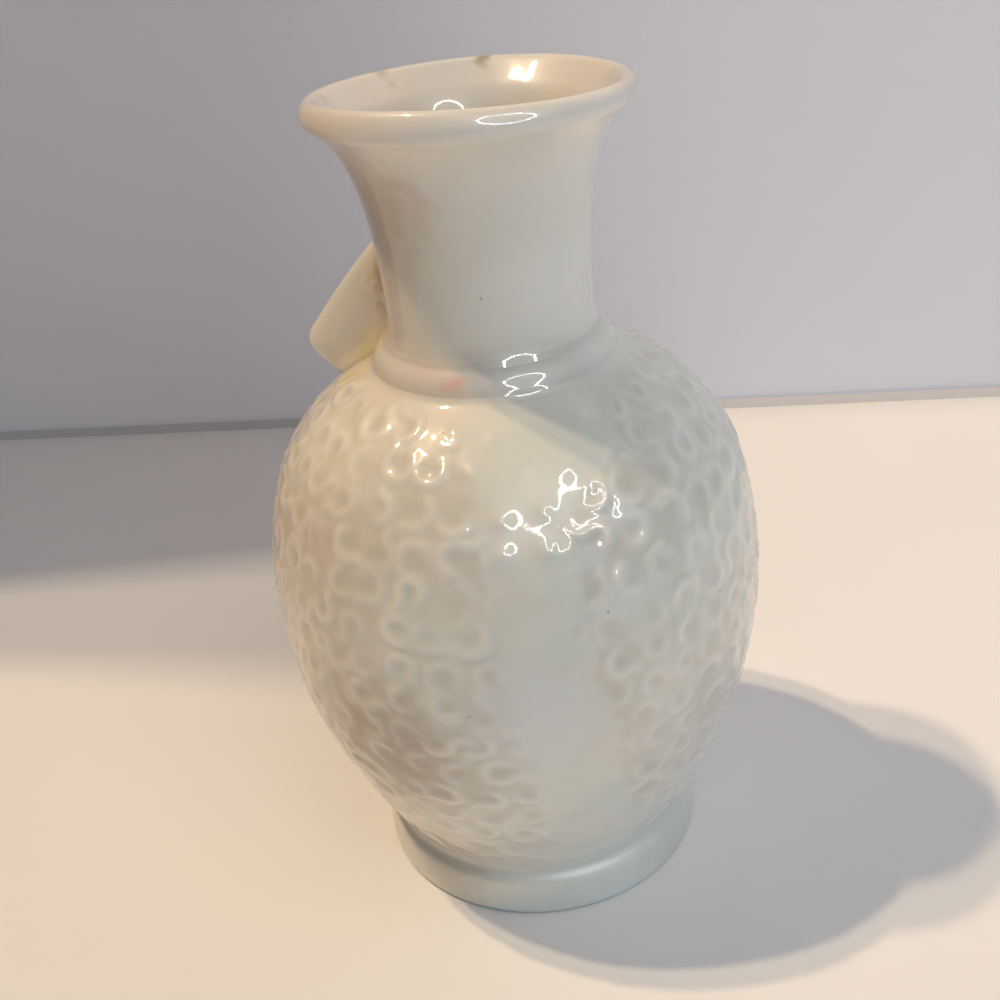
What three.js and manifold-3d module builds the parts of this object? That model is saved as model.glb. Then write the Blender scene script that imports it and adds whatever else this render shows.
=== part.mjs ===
// Porcelain bud vase: a hollow egg-shaped belly, a trumpet neck with a rolled lip,
// a soft roll of clay round the joint between them, a foot ring and one fin-like lug.
// Millimetres, +Z up. The origin is on the table, under the centre of the foot ring.

import * as THREE from "three";
import { mergeVertices } from "three/addons/utils/BufferGeometryUtils.js";
import Module from "manifold-3d";

// Joints: the layer of slip that lutes one piece of clay to the next
const slip = 0.3;

// Foot ring
const footRadius = 27.7;
const footHeight = 8.2;
const footWidth = 5.5;
const footTopRound = 1.6;
const footEdgeRound = 0.8;

// Belly: its outline leaves the foot at a lean, runs upright at its widest level
// and comes in over the shoulder at a slope; each pull is how far the outline keeps to its direction
const bellyWall = 3;
const bellyFootRadius = 25.6;
const bellyFootLean = 31.8;
const bellyFootPull = 12.9;
const bellyRadius = 39.4;
const bellyRise = 44;
const bellyLowerPull = 15.5;
const bellyUpperPull = 22.3;
const bellyLength = 82.2;
const shoulderRadius = 18.5;
const shoulderSlope = 26.9;
const shoulderPull = 16;
const bossDepth = 2.2;
const floorThickness = 2.2;
const floorRound = 4;

// Relief on the belly: rows of curls, each a dimple part ringed by a raised crescent.
// Two smooth strips run from foot to shoulder over the seams of the two-part mould.
const curlPitch = 6.4;
const curlRadius = 2.2;
const curlHeight = 0.6;
const dimpleDepth = 0.5;
const curlStray = 0.5;
const reliefFootMargin = 2.5;
const reliefShoulderMargin = 5;
const seamBearing = 26.8;
const seamDrift = 0.22;
const seamWidth = 12.6;
const reliefFade = 2.5;

// Neck: the middle of its wall runs from the root through a waist to the centre of the rolled lip
const neckWall = 2.5;
const neckLength = 39;
const neckRootRadius = 16.6;
const neckRootPull = 4;
const neckWaistRadius = 15.5;
const neckWaistRise = 10;
const neckWaistPull = 4;
const neckFlarePull = 20;
const lipRadius = 23.6;
const lipRound = 1.4;
const lipRise = 18.9;
const lipPull = 2;

// Collar: the roll of clay that covers the joint
const collarHeight = 4.6;
const collarSwell = 0.1;
const collarPull = 1.4;

// Lug: a flat plate whose two straight edges meet in a rounded nose
const lugReach = 33.1;
const lugNoseRise = 0.1;
const lugUpperAngle = 47.5;
const lugLowerAngle = 40.4;
const lugNoseRound = 4;
const lugThickness = 4.2;
const lugEdgeRound = 1.5;
const lugDirection = 180;

// Smoothness
const roundSteps = 48;
const pointsPerCurl = 3;
const bellySteps = 12;
const hollowSteps = 7;
const neckRootSteps = 4;
const neckFlareSteps = 8;
const edgeSteps = 3;
const lipSteps = 6;

// Levels that follow from the sizes
const bellyFootLevel = footHeight + slip;
const bellyWidestLevel = bellyFootLevel + bellyRise;
const seatLevel = bellyFootLevel + bellyLength;
const neckRootLevel = seatLevel + slip;
const throatRadius = neckRootRadius - neckWall;
const bossRadius = footRadius - footWidth - slip;

// Porcelain glaze in the tone of each piece
const glaze = (color) => new THREE.MeshStandardMaterial({ color, roughness: 0.12, metalness: 0 });
const bellyGlaze = glaze(0xcfc8bb);
const neckGlaze = glaze(0xd3cabd);
const collarGlaze = glaze(0xd4c4b6);
const footGlaze = glaze(0xb9b8ae);
const lugGlaze = glaze(0xcdb99a);

const wasm = await Module();
wasm.setup();

const radians = THREE.MathUtils.degToRad;

function point(radius, level) {
  return new THREE.Vector2(radius, level);
}

// A step of a given length from a point, at an angle above the outward direction
function step(from, length, angle) {
  return point(from.x + length * Math.cos(radians(angle)), from.y + length * Math.sin(radians(angle)));
}

// A smooth curve that leaves its start and reaches its end along the two handles
function sweep(start, startHandle, endHandle, end, steps) {
  return new THREE.CubicBezierCurve(start, startHandle, endHandle, end).getPoints(steps);
}

// A quarter-like round from one point to another with its corner between them
function round(start, corner, end, steps) {
  return new THREE.QuadraticBezierCurve(start, corner, end).getPoints(steps);
}

// The same curve moved to its right by a distance that may change along it
function offset(points, distance) {
  return points.map((here, index) => {
    const before = points[Math.max(index - 1, 0)];
    const after = points[Math.min(index + 1, points.length - 1)];
    const along = after.clone().sub(before).normalize();
    const shift = typeof distance === "function" ? distance(index / (points.length - 1)) : distance;
    return point(here.x + along.y * shift, here.y - along.x * shift);
  });
}

// A ring-shaped or full solid turned from an outline of radius and level
function turned(outline) {
  const geometry = new THREE.LatheGeometry(outline, roundSteps);
  geometry.rotateX(Math.PI / 2);
  return geometry;
}

function closed(outline) {
  return [...outline, outline[0].clone()];
}

// A solid skinned over rings of points from bottom to top. Each ring is a list of { share, place }
// in order round the axis, with share from 0 to 1. Rings may have different numbers of points.
function skin(rings) {
  const places = [];
  const triangles = [];
  const indexed = rings.map((ring) => ring.map(({ share, place }) => {
    places.push(place.x, place.y, place.z);
    return { share, index: places.length / 3 - 1 };
  }));
  const at = (ring, i) => ring[i % ring.length].index;
  const shareAt = (ring, i) => ring[i % ring.length].share + Math.floor(i / ring.length);
  for (let k = 1; k < indexed.length; k += 1) {
    const [lower, upper] = [indexed[k - 1], indexed[k]];
    let i = 0;
    let j = 0;
    while (i < lower.length || j < upper.length) {
      const lowerIsSooner = i < lower.length && shareAt(lower, i + 1) <= shareAt(upper, j + 1);
      if (j >= upper.length || lowerIsSooner) {
        triangles.push(at(lower, i), at(lower, i + 1), at(upper, j));
        i += 1;
      } else {
        triangles.push(at(lower, i), at(upper, j + 1), at(upper, j));
        j += 1;
      }
    }
  }
  const cap = (ring, facingUp) => {
    const centre = places.length / 3;
    places.push(0, 0, places[3 * ring[0].index + 2]);
    ring.forEach((corner, i) => {
      const pair = facingUp ? [corner.index, at(ring, i + 1)] : [at(ring, i + 1), corner.index];
      triangles.push(centre, ...pair);
    });
  };
  cap(indexed[0], false);
  cap(indexed[indexed.length - 1], true);
  return new wasm.Manifold(new wasm.Mesh({
    numProp: 3,
    vertProperties: new Float32Array(places),
    triVerts: new Uint32Array(triangles),
  }));
}

function toSolid(geometry) {
  const bare = geometry.clone();
  bare.deleteAttribute("normal");
  bare.deleteAttribute("uv");
  const merged = mergeVertices(bare);
  const corners = merged.index ? merged.index.array : [...Array(merged.attributes.position.count).keys()];
  const triangles = [];
  for (let i = 0; i < corners.length; i += 3) {
    const [a, b, c] = [corners[i], corners[i + 1], corners[i + 2]];
    if (a !== b && b !== c && c !== a) {
      triangles.push(a, b, c);
    }
  }
  return new wasm.Manifold(new wasm.Mesh({
    numProp: 3,
    vertProperties: new Float32Array(merged.attributes.position.array),
    triVerts: new Uint32Array(triangles),
  }));
}

function toGeometry(solid) {
  const mesh = solid.getMesh();
  const geometry = new THREE.BufferGeometry();
  geometry.setAttribute("position", new THREE.BufferAttribute(mesh.vertProperties, 3));
  geometry.setIndex(new THREE.BufferAttribute(mesh.triVerts, 1));
  geometry.computeVertexNormals();
  return geometry;
}

function piece(name, geometry, material) {
  const mesh = new THREE.Mesh(geometry, material);
  mesh.name = name;
  return mesh;
}

// Belly outline, from its foot through the widest level to the edge of the shoulder seat
function bellyCurve() {
  const foot = point(bellyFootRadius, bellyFootLevel);
  const widest = point(bellyRadius, bellyWidestLevel);
  const shoulder = point(shoulderRadius, seatLevel);
  const outline = new THREE.CurvePath();
  outline.add(new THREE.CubicBezierCurve(
    foot,
    step(foot, bellyFootPull, 90 - bellyFootLean),
    point(bellyRadius, bellyWidestLevel - bellyLowerPull),
    widest,
  ));
  outline.add(new THREE.CubicBezierCurve(
    widest,
    point(bellyRadius, bellyWidestLevel + bellyUpperPull),
    step(shoulder, shoulderPull, -shoulderSlope),
    shoulder,
  ));
  return outline;
}

function bellyOutline(steps = bellySteps) {
  return bellyCurve().getPoints(steps);
}

// A value from 0 to 1 that looks random but is the same for the same seed
function scatter(seed) {
  const wave = Math.sin(seed * 12.9898) * 43758.5453;
  return wave - Math.floor(wave);
}

// How much of the relief shows at a place on the belly: none on the seam strips or under the lug.
// A bearing is counted in degrees from the front, -Y, towards +X.
function reliefShow(bearing, radius, level) {
  const apart = (centre) => Math.abs(THREE.MathUtils.euclideanModulo(bearing - centre + 180, 360) - 180);
  const arc = (centre) => radians(apart(centre)) * radius;
  const seam = seamBearing + seamDrift * (bellyWidestLevel - level);
  const offSeam = Math.min(arc(seam), arc(seam + 180)) - seamWidth / 2;
  const belowLug = lowestLugLevel() - level;
  const offLug = Math.max(arc(lugDirection + 90) - lugThickness / 2 - reliefFade, belowLug);
  return THREE.MathUtils.smoothstep(Math.min(offSeam, offLug), 0, reliefFade);
}

// One row of curls as three rings of points: under, through and over the dimples.
// Each curl is a block of three by three points, strayed a little from its place in the row.
function curlRow(outline, row, rowPitch, length) {
  const middle = reliefFootMargin + (row + 0.5) * rowPitch;
  const count = Math.round((2 * Math.PI * outline.getPointAt(middle / length).x) / curlPitch);
  const phase = scatter(row + 1) / count;
  const rings = [-1, 0, 1].map((rise) => {
    const ring = [];
    for (let column = 0; column < count * pointsPerCurl; column += 1) {
      const curl = Math.floor(column / pointsPerCurl);
      const across = (column % pointsPerCurl) - 1;
      const seed = 100 * row + curl + 1;
      const reach = Math.hypot(across, rise);
      const spread = reach > 0 ? curlRadius / reach : 0;
      const strayAcross = curlStray * (2 * scatter(seed + 0.1) - 1);
      const strayAlong = curlStray * (2 * scatter(seed + 0.2) - 1);
      const along = middle + strayAlong + rise * spread;
      const place = outline.getPointAt(along / length);
      const tangent = outline.getTangentAt(along / length);
      const shift = (across * spread + strayAcross) / (2 * Math.PI * place.x);
      const share = (curl + 0.5) / count + phase + shift;
      const opening = 2 * Math.PI * scatter(seed + 0.3);
      const crescent = 0.5 - 0.5 * Math.cos(Math.atan2(rise, across) - opening);
      const raised = reach > 0 ? curlHeight * THREE.MathUtils.smoothstep(crescent, 0.05, 0.5) : -dimpleDepth;
      const show = reliefShow(360 * share, place.x, place.y);
      ring.push({ share, place: onBelly(360 * share, place, tangent, raised * show) });
    }
    return ring;
  });
  return rings.map((ring) => ring.sort((a, b) => a.share - b.share));
}

// A point over the belly outline, lifted square to the surface
function onBelly(bearing, place, tangent, lift) {
  const angle = radians(bearing);
  const radius = place.x + tangent.y * lift;
  const level = place.y - tangent.x * lift;
  return new THREE.Vector3(radius * Math.sin(angle), -radius * Math.cos(angle), level);
}

// A smooth ring of points on the belly, at a share of the outline's length
function plainRing(outline, height) {
  const place = outline.getPointAt(height);
  const tangent = outline.getTangentAt(height);
  const ring = [];
  for (let i = 0; i < roundSteps; i += 1) {
    const share = i / roundSteps;
    ring.push({ share, place: onBelly(360 * share, place, tangent, 0) });
  }
  return ring;
}

// The belly's outside as a full solid with its relief
function bellyOutside() {
  const outline = bellyCurve();
  const length = outline.getLength();
  const reliefLength = length - reliefFootMargin - reliefShoulderMargin;
  const rowCount = Math.round(reliefLength / curlPitch);
  const rings = [plainRing(outline, 0)];
  for (let row = 0; row < rowCount; row += 1) {
    rings.push(...curlRow(outline, row, reliefLength / rowCount, length));
  }
  rings.push(plainRing(outline, 1 - reliefShoulderMargin / 2 / length));
  rings.push(plainRing(outline, 1));
  return skin(rings);
}

// Middle line of the neck wall, from its root to the centre of the lip
function neckMiddle() {
  const halfWall = neckWall / 2;
  const root = point(neckRootRadius - halfWall, neckRootLevel);
  const waist = point(neckWaistRadius - halfWall, neckRootLevel + neckWaistRise);
  const lip = point(lipRadius - lipRound, neckRootLevel + neckLength - lipRound);
  const lower = sweep(
    root,
    point(root.x, root.y + neckRootPull),
    point(waist.x, waist.y - neckWaistPull),
    waist,
    neckRootSteps,
  );
  const upper = sweep(
    waist,
    point(waist.x, waist.y + neckFlarePull),
    step(lip, lipPull, 180 + lipRise),
    lip,
    neckFlareSteps,
  );
  return [...lower, ...upper.slice(1)];
}

// Half the neck's wall, which swells into the rolled lip over the last stretch
function neckHalfWall(share) {
  const swell = THREE.MathUtils.smoothstep(share, 0.8, 1);
  return THREE.MathUtils.lerp(neckWall / 2, lipRound, swell);
}

function neckOuterSide() {
  return offset(neckMiddle(), neckHalfWall);
}

// Radius of the neck's outer side at a level near its root
function neckRadiusAt(level) {
  const side = neckOuterSide();
  const next = side.findIndex((corner) => corner.y >= level);
  const above = side[Math.max(next, 1)];
  const below = side[Math.max(next, 1) - 1];
  const share = (level - below.y) / (above.y - below.y);
  return THREE.MathUtils.lerp(below.x, above.x, share);
}

// The hollow of the belly: the outline moved in by the wall, a round to the floor and the shoulder opening
function bellyHollow() {
  const floorLevel = bellyFootLevel + floorThickness;
  const seatRim = point(throatRadius, seatLevel);
  const wallSide = offset(bellyOutline(hollowSteps), -bellyWall)
    .filter((corner) => corner.y > floorLevel + floorRound / 2 && corner.x > throatRadius);
  const first = wallSide[0];
  const last = wallSide[wallSide.length - 1];
  const floorCorner = point(first.x, floorLevel);
  const floorEdge = point(first.x - floorRound, floorLevel);
  return [
    point(0, floorLevel),
    ...round(floorEdge, floorCorner, first, edgeSteps),
    ...wallSide.slice(1),
    point(throatRadius, last.y),
    point(throatRadius, seatRim.y + bellyWall),
    point(0, seatRim.y + bellyWall),
  ];
}

function bodyShell() {
  const boss = turned([
    point(0, bellyFootLevel - bossDepth),
    point(bossRadius, bellyFootLevel - bossDepth),
    point(bossRadius, bellyFootLevel + floorThickness / 2),
    point(0, bellyFootLevel + floorThickness / 2),
  ]);
  const shell = bellyOutside().add(toSolid(boss)).subtract(toSolid(turned(bellyHollow())));
  return piece("body_shell", toGeometry(shell), bellyGlaze);
}

function neck() {
  const middle = neckMiddle();
  const outer = offset(middle, neckHalfWall);
  const inner = offset(middle, (share) => -neckHalfWall(share)).reverse();
  const centre = middle[middle.length - 1];
  const rim = outer[outer.length - 1];
  const startAngle = Math.atan2(rim.y - centre.y, rim.x - centre.x);
  const lip = [];
  for (let i = 1; i < lipSteps; i += 1) {
    const angle = startAngle + (Math.PI * i) / lipSteps;
    lip.push(point(centre.x + lipRound * Math.cos(angle), centre.y + lipRound * Math.sin(angle)));
  }
  return piece("neck", turned(closed([...outer, ...lip, ...inner])), neckGlaze);
}

// Outer side of the collar, from the shoulder seat up to the neck
function collarSide() {
  const bottom = point(shoulderRadius, neckRootLevel);
  const topLevel = neckRootLevel + collarHeight;
  const top = point(neckRadiusAt(topLevel) + slip, topLevel);
  return sweep(
    bottom,
    point(bottom.x + collarSwell, bottom.y + collarPull),
    point(top.x, top.y - collarPull),
    top,
    edgeSteps + 1,
  );
}

function neckCollar() {
  const outer = collarSide();
  const bottom = outer[0];
  const top = outer[outer.length - 1];
  const middleLevel = (bottom.y + top.y) / 2;
  const inner = [
    point(neckRadiusAt(middleLevel) + slip, middleLevel),
    point(neckRadiusAt(bottom.y) + slip, bottom.y),
  ];
  return piece("neck_collar", turned(closed([...outer, ...inner])), collarGlaze);
}

function footRing() {
  const inside = footRadius - footWidth;
  const outline = [
    point(inside, footEdgeRound),
    point(inside + footEdgeRound, 0),
    ...round(
      point(footRadius - footEdgeRound, 0),
      point(footRadius, 0),
      point(footRadius, footEdgeRound),
      edgeSteps,
    ),
    ...round(
      point(footRadius, footHeight - footTopRound),
      point(footRadius, footHeight),
      point(footRadius - footTopRound, footHeight),
      edgeSteps,
    ),
    point(inside, footHeight),
  ];
  return piece("foot_ring", turned(closed(outline)), footGlaze);
}

// The whole outside of the vase grown by the slip, which the lug is cut to fit
function outsideWithSlip() {
  const lipLevel = neckRootLevel + neckLength;
  const collar = collarSide();
  const collarTop = collar[collar.length - 1].y;
  const neckSide = neckOuterSide().filter((corner) => corner.y > collarTop);
  const side = offset([...bellyOutline(), ...collar.slice(0, -1), ...neckSide], slip);
  return turned([point(0, side[0].y), ...side, point(0, lipLevel)]);
}

// Where the lug's lower edge meets the shoulder
function lowestLugLevel() {
  const corner = point(lugReach, seatLevel + lugNoseRise);
  const slope = Math.tan(radians(lugLowerAngle));
  const overShoulder = bellyOutline(10 * bellySteps).filter((place) => place.y > bellyWidestLevel);
  const touching = overShoulder.find((place) => place.y > corner.y - (corner.x - place.x) * slope);
  return touching.y;
}

function shoulderLug() {
  const corner = point(lugReach, seatLevel + lugNoseRise);
  const rootReach = corner.x - throatRadius;
  const upperStart = step(corner, rootReach / Math.cos(radians(lugUpperAngle)), 180 - lugUpperAngle);
  const lowerEnd = step(corner, rootReach / Math.cos(radians(lugLowerAngle)), 180 + lugLowerAngle);
  const noseStart = step(corner, lugNoseRound, 180 - lugUpperAngle);
  const noseEnd = step(corner, lugNoseRound, 180 + lugLowerAngle);
  const outline = new THREE.Shape();
  outline.moveTo(upperStart.x, upperStart.y);
  outline.lineTo(lowerEnd.x, lowerEnd.y);
  outline.lineTo(noseEnd.x, noseEnd.y);
  outline.quadraticCurveTo(corner.x, corner.y, noseStart.x, noseStart.y);
  outline.closePath();
  const plate = new THREE.ExtrudeGeometry(outline, {
    depth: lugThickness - 2 * lugEdgeRound,
    bevelThickness: lugEdgeRound,
    bevelSize: lugEdgeRound,
    bevelOffset: -lugEdgeRound,
    bevelSegments: edgeSteps,
    curveSegments: edgeSteps + 2,
  });
  plate.translate(0, 0, lugEdgeRound - lugThickness / 2);
  plate.rotateX(Math.PI / 2);
  plate.rotateZ(radians(lugDirection));
  const lug = toSolid(plate).subtract(toSolid(outsideWithSlip()));
  return piece("shoulder_lug", toGeometry(lug), lugGlaze);
}

const vase = new THREE.Group();
vase.add(footRing(), bodyShell(), neckCollar(), neck(), shoulderLug());

export default vase;
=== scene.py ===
import math

import bpy
import numpy as np
from mathutils import Matrix, Vector


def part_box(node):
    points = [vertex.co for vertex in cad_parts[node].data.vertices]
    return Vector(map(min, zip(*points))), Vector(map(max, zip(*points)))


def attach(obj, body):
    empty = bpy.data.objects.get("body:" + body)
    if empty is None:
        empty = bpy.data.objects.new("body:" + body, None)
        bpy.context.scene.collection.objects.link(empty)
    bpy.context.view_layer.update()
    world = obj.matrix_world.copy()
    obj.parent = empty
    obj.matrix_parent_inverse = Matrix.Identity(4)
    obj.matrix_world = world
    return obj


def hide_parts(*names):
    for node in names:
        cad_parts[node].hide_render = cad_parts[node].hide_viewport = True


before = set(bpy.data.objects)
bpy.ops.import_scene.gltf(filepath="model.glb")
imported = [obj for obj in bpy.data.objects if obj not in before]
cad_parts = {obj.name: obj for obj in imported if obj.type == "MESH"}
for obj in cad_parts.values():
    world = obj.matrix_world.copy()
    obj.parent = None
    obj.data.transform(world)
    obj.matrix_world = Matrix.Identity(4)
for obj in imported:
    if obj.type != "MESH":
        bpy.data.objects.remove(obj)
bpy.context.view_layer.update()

# The glazed surfaces of a porcelain bud vase, a plain studio round it, and the camera.
# Outlines are in millimetres as (radius, level); MM turns them into metres where a mesh is made.
# A bearing is counted from the front, -Y, towards +X.
MM = 0.001

rng = np.random.default_rng(20)


# Sizes from the frame

def node_box(node):
    low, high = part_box(node)
    return np.array(low) / MM, np.array(high) / MM


foot_box = node_box("foot_ring")
body_box = node_box("body_shell")
neck_box = node_box("neck")
lug_box = node_box("shoulder_lug")

foot_radius = foot_box[1][0]
foot_height = foot_box[1][2]
boss_level = body_box[0][2]
seat_level = body_box[1][2]
neck_root_level = neck_box[0][2]
top_level = neck_box[1][2]
lip_radius = neck_box[1][0]
lug_half_thickness = lug_box[1][1]
lug_nose = -lug_box[0][0]
lug_foot_margin = 1.0
lug_foot_level = lug_box[0][2] - lug_foot_margin

# Sizes of the outline. They are those of the construction, except for a softer inner corner of the
# floor, a slightly narrower flare of the neck, and a rounder lip with a straight slope inside it
slip = neck_root_level - seat_level
foot_width = 5.5
foot_top_round = 1.6
foot_edge_round = 0.8
belly_wall = 3.0
belly_foot_radius = 25.6
belly_foot_lean = 31.8
belly_foot_pull = 12.9
belly_radius = 39.4
belly_rise = 44.0
belly_lower_pull = 15.5
belly_upper_pull = 22.3
shoulder_radius = 18.5
shoulder_slope = 26.9
shoulder_pull = 16.0
floor_thickness = 2.2
floor_round = 6.0
neck_wall = 2.5
neck_waist_radius = 15.5
neck_waist_rise = 10.0
neck_flare_pull = 8.38
lip_round = 1.55
lip_rise = 30.0
lip_pull = 7.87
inside_slope = 43.3
inside_slope_length = 4.0
inside_slope_pull = 4.0
inside_waist_pull = 13.0

# The soft joint between neck and shoulder: the wall leaves the waist, flares to its steepest place
# and turns over into the roll of the collar
joint_radius = 16.9
joint_level = 94.1
joint_slope = 50.0
joint_upper_pull = 2.2
waist_lower_pull = 2.8
roll_radius = 18.65
roll_level = 91.4
roll_lean = 12.0
roll_upper_pull = 0.9
roll_lower_pull = 1.2
collar_top_level = 95.6

belly_foot_level = foot_height + slip
belly_widest_level = belly_foot_level + belly_rise
floor_level = belly_foot_level + floor_thickness
throat_radius = 14.1
crease_softness = 0.32
outline_step = 0.05
same_place = 1e-6

# Where the parts of the outline meet: small insets and pulls, the inner corner of the floor as shares of
# its rounding, how far the wall leans in above it, and the bend of the throat beside its radius and root
recess_inset = 0.05
recess_step = 0.4
roll_foot_inset = 0.1
roll_foot_pull = 0.4
floor_drop = 0.7
floor_pull = 0.8
floor_reach = 1.7
floor_lean = 1.5
throat_margin = 0.5
throat_bend = ((-0.4, 2.0), (0.0, -1.5))

# Places that are rounded more than the rest: radius, level, softness and how far round them it acts
soft_joints = ((belly_foot_radius, belly_foot_level, 1.5, 2.8),
               (shoulder_radius, seat_level, 1.1, 2.0),
               (lip_radius - 1.6, top_level - 3.6, 0.75, 1.6))

# Relief of curls on the belly. Gaps and tails are in degrees, curl_sizes and curl_strengths are shares,
# and ridge_ends is the height of a ridge at its start, along it and at its end
curl_pitch = 6.2
row_tightness = 0.92
curl_radius = 2.15
curl_stray = 0.9
curl_sizes = (0.80, 1.15)
curl_gaps = (95.0, 210.0)
curl_strengths = (0.45, 1.0)
arc_points = 13
tail_share = 0.68
tail_turns = (40.0, 150.0)
tail_radius = 1.7
tail_points = 7
ridge_height = 0.37
ridge_half_width = 0.90
ridge_reach = 3 * ridge_half_width
ridge_ends = (0.55, 1.0, 1.0, 0.45)
ridge_merging = 6
ground_depth = 0.06
dish_depth = 0.06
dish_size = 0.85
relief_foot_margin = 1.5
relief_shoulder_margin = 3.0

# Worn curls on the smooth strips: low swells, freshest round one level. Their height is the share
# worn_least far from that level, and worn_gain more at it
worn_height = 0.42
worn_radius = 1.6
worn_level = 77.5
worn_spread = 7.5
worn_least = 0.35
worn_gain = 0.65

# Where the relief fades out: how far inside each edge it starts and is whole, how low it is near the
# foot, and the waves of the strips' edges as height, pace up the side, pace round it and start
relief_fade = (-0.4, 2.6)
foot_fade = (0.4, 3.0)
shoulder_fade = (1.0, 4.5)
lug_margin = 1.5
low_strength = 0.55
low_gain = 0.45
low_reach = (4.0, 22.0)
edge_waves = ((0.5, 0.9, 0.0, 1.0), (0.4, 1.7, 0.3, 0.0))

# The two smooth strips where the halves of the mould met: their edges as distances in millimetres
# to either side of a line down the belly, at rising levels
strip_bearing = 26.8
strip_levels = (14.0, 20.0, 32.0, 46.0, 57.0, 63.0, 70.0, 75.0, 78.0, 80.5, 84.0, 88.0)
strip_left = (2.0, -0.6, -2.7, -4.9, -6.7, -6.5, -6.0, -6.5, -7.0, -7.0, -7.2, -8.0)
strip_right = (10.8, 10.0, 9.1, 8.3, 4.5, 2.6, 4.4, 2.5, 1.2, 6.0, 13.0, 14.7)

# Slow waves all over the belly: turns round it, pace up the side and weight
belly_waves = ((2, 0.05, 1.0), (3, -0.08, 0.8), (5, 0.11, 0.6), (9, -0.21, 0.35), (14, 0.3, 0.25))
belly_wave_height = 0.05
belly_wave_fade = 4.0

# Hand-made unevenness of the rim: how far its crown is lifted on the whole, and by waves of one and
# two turns round it, counted from the bearing of the camera. The neck leans by a single such wave.
# The outside of the rim counts as lower than its inside, by rim_tilt for each millimetre from a circle
# rim_inset inside its outer edge. Each fade says how far under the top something starts and is whole
rim_bearing = 22.0
rim_lift = 0.40
rim_waves = ((1, 0.83, -0.36), (2, 0.20, -0.19))
rim_tilt = 0.9
rim_inset = 2.1
rim_fade = (4.5, 0.2)
neck_lean = (-0.17, -0.11)
neck_lean_level = 106.0

# Flat places that a finger left on the rim: bearing, width in degrees and depth
rim_touches = ((-3.0, 7.0, 0.13), (62.0, 9.0, 0.10), (118.0, 6.0, 0.07), (176.5, 8.0, 0.195),
               (-128.0, 10.0, 0.12), (-72.0, 8.0, 0.09))
touch_fade = (6.0, 3.0)

# The flat place at the back turns a little from one side to the other on the slope inside the lip: its
# bearing, its width in degrees, how far its middle lies under the top, half its height, its turn for
# each degree and millimetre, and how far inside and under the lip it fades
facet_bearing = 176.5
facet_width = 9.0
facet_depth = 1.8
facet_half_height = 1.6
facet_twist = 0.0095
facet_inset = (1.5, 2.6)
facet_fade = (6.0, 4.0)

# Density of the outline and of the meshes
cubic_points = 200
arc_rings = 60
belly_columns = 480
belly_row_step = 0.5
hidden_columns = 120
plain_columns = 288
plain_row_step = 0.4
inside_row_step = 2.4


def direction(bearing):
    angle = math.radians(bearing)
    return np.array([math.sin(angle), -math.cos(angle)])


def smooth(value, low, high):
    share = np.clip((value - low) / (high - low), 0.0, 1.0)
    return share * share * (3.0 - 2.0 * share)


# Outline

def cubic(start, start_handle, end_handle, end):
    t = np.linspace(0.0, 1.0, cubic_points)[:, None]
    start, start_handle, end_handle, end = map(np.array, (start, start_handle, end_handle, end))
    return ((1 - t) ** 3 * start + 3 * t * (1 - t) ** 2 * start_handle
            + 3 * t * t * (1 - t) * end_handle + t ** 3 * end)


def arc(centre, radius, first, last):
    angle = np.radians(np.linspace(first, last, arc_rings))
    return np.array(centre) + radius * np.stack([np.cos(angle), np.sin(angle)], 1)


def step(start, length, angle):
    return (start[0] + length * math.cos(math.radians(angle)),
            start[1] + length * math.sin(math.radians(angle)))


def moved_right(points, distance):
    along = np.gradient(points, axis=0)
    along /= np.linalg.norm(along, axis=1)[:, None]
    return points + np.stack([along[:, 1], -along[:, 0]], 1) * np.reshape(distance, (-1, 1))


def belly_side():
    foot = (belly_foot_radius, belly_foot_level)
    widest = (belly_radius, belly_widest_level)
    shoulder = (shoulder_radius, seat_level)
    lower = cubic(foot, step(foot, belly_foot_pull, 90 - belly_foot_lean),
                  (belly_radius, belly_widest_level - belly_lower_pull), widest)
    upper = cubic(widest, (belly_radius, belly_widest_level + belly_upper_pull),
                  step(shoulder, shoulder_pull, -shoulder_slope), shoulder)
    return np.vstack([lower, upper[1:]])


def collar_and_root():
    roll = (roll_radius, roll_level)
    joint = (joint_radius, joint_level)
    waist = (neck_waist_radius, neck_root_level + neck_waist_rise)
    lower = cubic((shoulder_radius + roll_foot_inset, seat_level + slip / 2),
                  (roll_radius, seat_level + slip), step(roll, roll_foot_pull, roll_lean - 90), roll)
    over = cubic(roll, step(roll, roll_upper_pull, 90 + roll_lean),
                 step(joint, roll_lower_pull, joint_slope - 90), joint)
    root = cubic(joint, step(joint, joint_upper_pull, 90 + joint_slope),
                 (neck_waist_radius, waist[1] - waist_lower_pull), waist)
    return np.vstack([lower, over[1:], root[1:]])


def flare():
    """The neck above its waist: up the outside, over the rolled lip, down the straight slope inside it
    and back to the waist."""
    half = neck_wall / 2
    waist = (neck_waist_radius - half, neck_root_level + neck_waist_rise)
    lip = (lip_radius - lip_round, top_level - lip_round)
    middle = cubic(waist, (waist[0], waist[1] + neck_flare_pull), step(lip, lip_pull, 180 + lip_rise), lip)
    thickening = smooth(np.linspace(0, 1, len(middle)), 0.5, 1.0)
    outer = moved_right(middle, half + (lip_round - half) * thickening)
    start = math.degrees(math.atan2(*(outer[-1] - middle[-1])[::-1]))
    crown = arc(lip, lip_round, start, 90 + inside_slope)[1:]
    slope = step(crown[-1], inside_slope_length, 180 + inside_slope)
    inside = neck_waist_radius - neck_wall
    inner = cubic(slope, step(slope, inside_slope_pull, 180 + inside_slope),
                  (inside, waist[1] + inside_waist_pull), (inside, waist[1]))
    return np.vstack([outer, crown, inner])


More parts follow.
